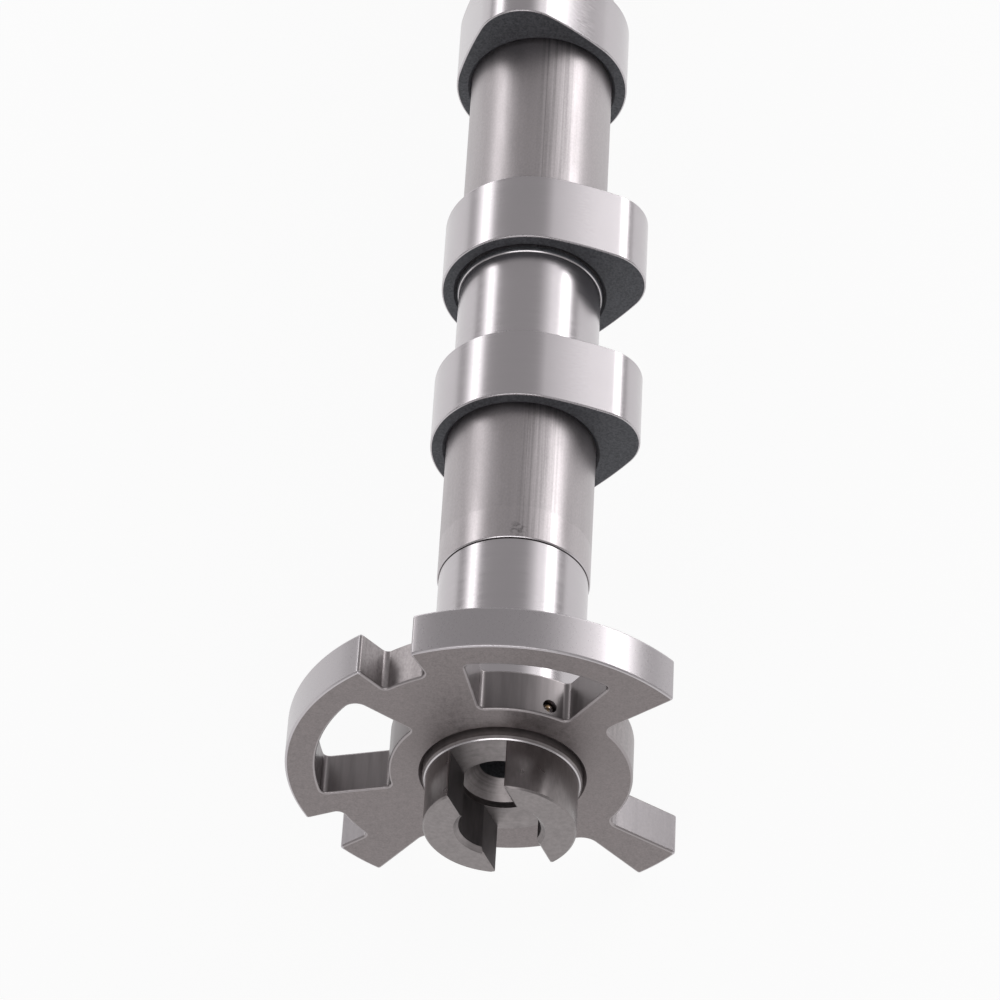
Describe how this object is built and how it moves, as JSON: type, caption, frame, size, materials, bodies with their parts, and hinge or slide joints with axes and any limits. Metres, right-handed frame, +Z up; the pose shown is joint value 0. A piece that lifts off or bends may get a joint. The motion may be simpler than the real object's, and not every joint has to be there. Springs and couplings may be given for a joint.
{
  "type": "camshaft",
  "caption": "Built-up engine camshaft: steel tube with pressed-on cam lobes, ground journals, a toothed phase sensor wheel and a slotted claw that drives a pump.",
  "frame": {"origin": "on the shaft axis, in the middle of the bearing journal beside the trigger wheel", "axes": "+Y along the shaft axis from the slotted claw towards the drive end; +Z up, with the two narrow teeth of the trigger wheel pointing down; +X to the right as seen from the claw"},
  "size_m": [0.0665, 0.4596, 0.0665],
  "materials": {
    "drawn_steel": "drawn and satin, journals ground",
    "lobe_steel": "ground and polished rim, dark granular sides",
    "sintered_steel": "sintered and sized, matt satin",
    "turned_steel": "turned, journal ground",
    "pin_steel": "polished"
  },
  "bodies": {
    "root": {"tube": "drawn_steel", "lobe_1": "lobe_steel", "lobe_2": "lobe_steel", "lobe_3": "lobe_steel", "lobe_4": "lobe_steel", "lobe_5": "lobe_steel", "lobe_6": "lobe_steel", "lobe_7": "lobe_steel", "lobe_8": "lobe_steel", "trigger_wheel": "sintered_steel", "claw_end_piece": "turned_steel", "wheel_pin": "pin_steel", "drive_end_piece": "turned_steel", "drive_dowel": "pin_steel"}
  },
  "joints": []
}
